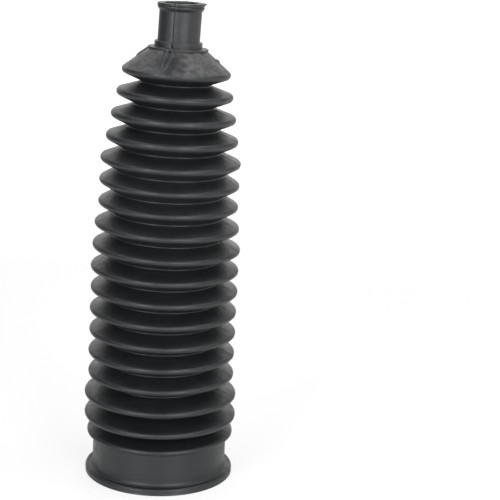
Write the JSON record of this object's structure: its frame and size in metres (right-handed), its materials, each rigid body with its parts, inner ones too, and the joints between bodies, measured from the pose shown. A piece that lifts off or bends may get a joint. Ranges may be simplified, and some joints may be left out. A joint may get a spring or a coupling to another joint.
{
  "type": "steering rack boot",
  "caption": "Moulded rubber bellows boot with a flanged clamp collar at its wide lower end, a long tapering stack of convolutions, and a cone that ends in a short rimmed neck.",
  "frame": {"origin": "centre of the large bore at the underside of the flange, which the boot stands on", "axes": "+Z from the large end towards the small end, along the large bore; +X is the side that the bellows lean to"},
  "size_m": [0.0715, 0.0714, 0.2223],
  "materials": {
    "boot": "satin black moulded rubber"
  },
  "bodies": {
    "root": {"boot": "boot"}
  },
  "joints": []
}
